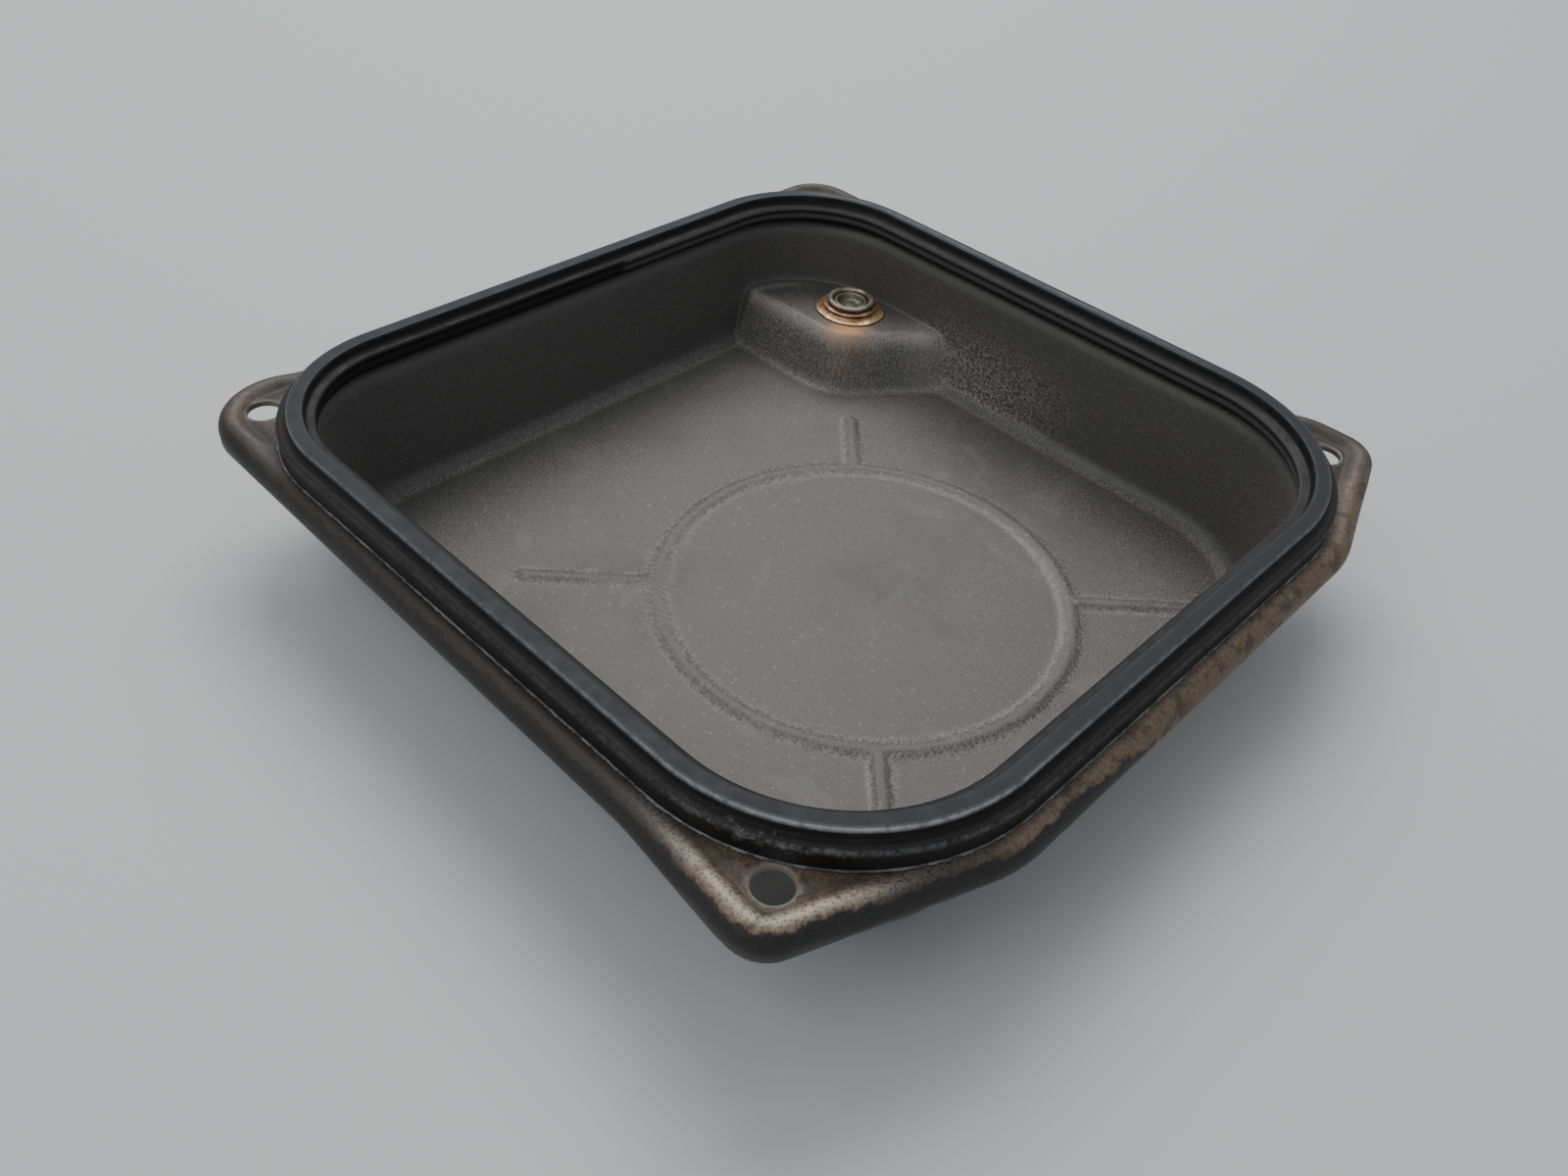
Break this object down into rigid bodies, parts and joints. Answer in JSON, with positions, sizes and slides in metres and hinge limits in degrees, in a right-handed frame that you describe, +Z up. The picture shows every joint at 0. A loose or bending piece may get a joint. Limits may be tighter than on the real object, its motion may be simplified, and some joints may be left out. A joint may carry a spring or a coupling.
{
  "type": "oil drain pan",
  "caption": "Pressed steel oil pan with a skirted flange, bolt ears, a moulded rubber rim seal, a beaded floor and a drain plug in a bush on a raised platform.",
  "frame": {"origin": "middle of the outline seen from above, on the flat underside of the bowl", "axes": "+Z up, out of the bowl's open mouth; +X the longer way across the ears; the drain platform is in the +X +Y corner"},
  "size_m": [0.2545, 0.2472, 0.051],
  "materials": {
    "pressed_steel": "dark heat-stained sheet steel, used, with a brown tint on the flange",
    "seal_rubber": "dark blue-grey moulded rubber, dusty",
    "bush_steel": "turned steel with a film of copper from the brazing",
    "braze_copper": "copper braze, uneven",
    "plug_steel": "olive-grey oiled steel",
    "washer_copper": "copper sealing washer"
  },
  "bodies": {
    "pan": {"pan_shell": "pressed_steel", "rim_seal": "seal_rubber", "drain_bush": "bush_steel", "braze_fillet": "braze_copper"},
    "plug": {"drain_plug": "plug_steel", "plug_washer": "washer_copper"}
  },
  "joints": [
    {"name": "plug_unscrew", "type": "slide", "parent": "pan", "child": "plug", "axis": [0, 0, -1], "range_m": [0, 0.0101]}
  ]
}
